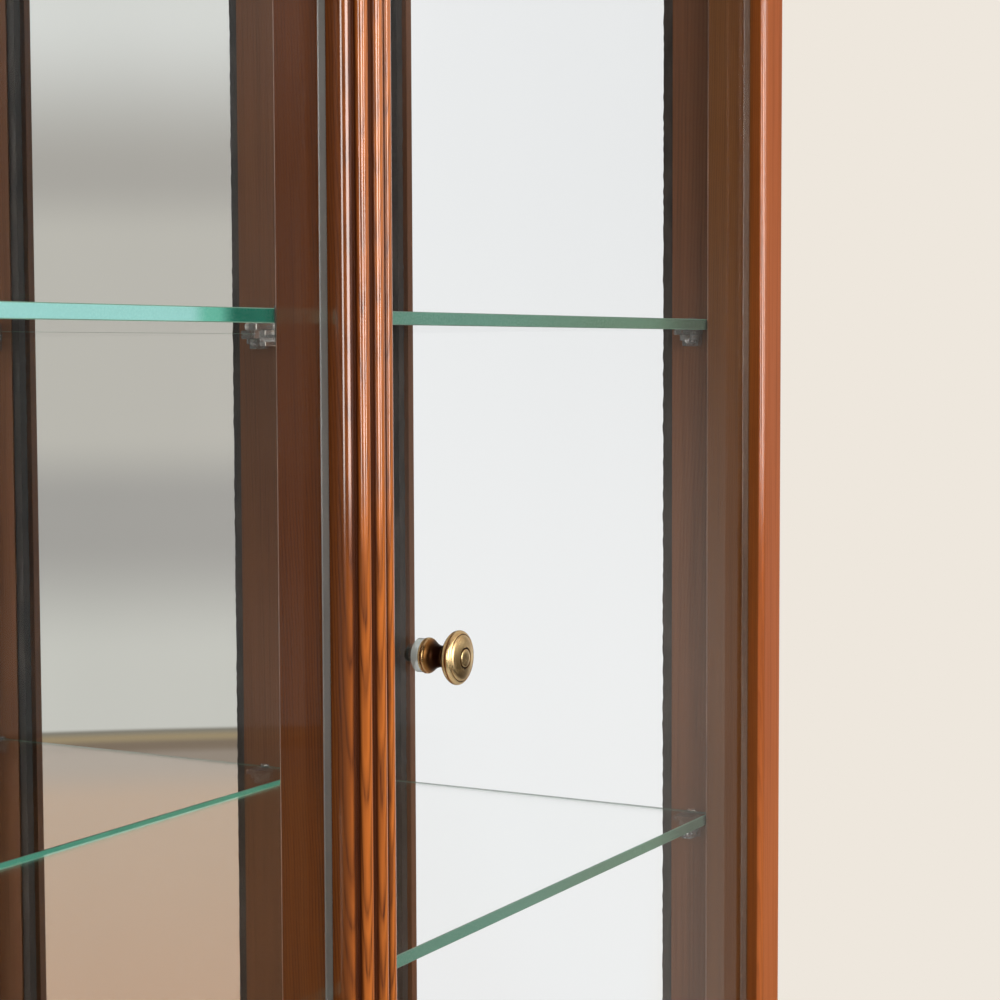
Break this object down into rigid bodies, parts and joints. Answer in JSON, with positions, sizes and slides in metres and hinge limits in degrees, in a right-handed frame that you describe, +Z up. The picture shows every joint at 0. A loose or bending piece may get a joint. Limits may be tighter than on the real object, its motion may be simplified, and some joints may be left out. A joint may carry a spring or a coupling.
{
  "type": "display cabinet",
  "caption": "Tall wooden display cabinet with glass doors on pivots, glass sides, glass shelves, a mirror back and a reeded centre pilaster.",
  "frame": {"origin": "on the floor, under the middle of the overall box", "axes": "+X to the right seen from the front, +Y to the back, +Z up; the doors face -Y"},
  "size_m": [1.256, 0.457, 2.09],
  "materials": {
    "brown_wood": "gloss lacquer",
    "back_panel": "matte",
    "door_glass": "polished",
    "side_glass": "polished",
    "shelf_glass": "polished",
    "mirror": "polished",
    "antique_brass": "antique, polished edges",
    "bright_steel": "bright",
    "clear_plastic": "clear",
    "dark_rubber": "matte",
    "dark_plastic": "matte"
  },
  "bodies": {
    "cabinet": {"back_board": "back_panel", "base_moulding_front": "brown_wood", "base_moulding_left": "brown_wood", "base_moulding_right": "brown_wood", "centre_pilaster": "brown_wood", "centre_shelf_supports": "clear_plastic", "cornice_front": "brown_wood", "cornice_left": "brown_wood", "cornice_right": "brown_wood", "cover_board": "brown_wood", "door_catches": "dark_plastic", "floor_board": "brown_wood", "floor_glides": "dark_plastic", "left_front_stile": "brown_wood", "left_glazing_strip": "dark_rubber", "left_shelf_supports": "clear_plastic", "left_side_bottom_rail": "brown_wood", "left_side_front_stile": "brown_wood", "left_side_glass": "side_glass", "left_side_rear_stile": "brown_wood", "left_side_top_rail": "brown_wood", "mirror": "mirror", "pivot_bushes": "bright_steel", "plinth_back": "brown_wood", "plinth_cross_rail": "brown_wood", "plinth_front": "brown_wood", "plinth_left": "brown_wood", "plinth_right": "brown_wood", "right_front_stile": "brown_wood", "right_glazing_strip": "dark_rubber", "right_shelf_supports": "clear_plastic", "right_side_bottom_rail": "brown_wood", "right_side_front_stile": "brown_wood", "right_side_glass": "side_glass", "right_side_rear_stile": "brown_wood", "right_side_top_rail": "brown_wood", "shelf_1": "shelf_glass", "shelf_2": "shelf_glass", "shelf_3": "shelf_glass", "shelf_4": "shelf_glass", "support_pins": "bright_steel", "top_board": "brown_wood", "top_front_rail": "brown_wood"},
    "left_door": {"left_door_bottom_pivot": "antique_brass", "left_door_glass": "door_glass", "left_door_knob": "antique_brass", "left_door_strike": "bright_steel", "left_door_top_pivot": "antique_brass", "left_knob_screw": "bright_steel", "left_knob_washers": "clear_plastic"},
    "right_door": {"right_door_bottom_pivot": "antique_brass", "right_door_glass": "door_glass", "right_door_knob": "antique_brass", "right_door_strike": "bright_steel", "right_door_top_pivot": "antique_brass", "right_knob_screw": "bright_steel", "right_knob_washers": "clear_plastic"}
  },
  "joints": [
    {"name": "left_door_hinge", "type": "hinge", "parent": "cabinet", "child": "left_door", "pos_m": [-0.041, -0.181, 1.07875], "axis": [0, 0, 1], "range_deg": [0, 100]},
    {"name": "right_door_hinge", "type": "hinge", "parent": "cabinet", "child": "right_door", "pos_m": [0.54, -0.181, 1.07875], "axis": [0, 0, 1], "range_deg": [0, 100]}
  ]
}
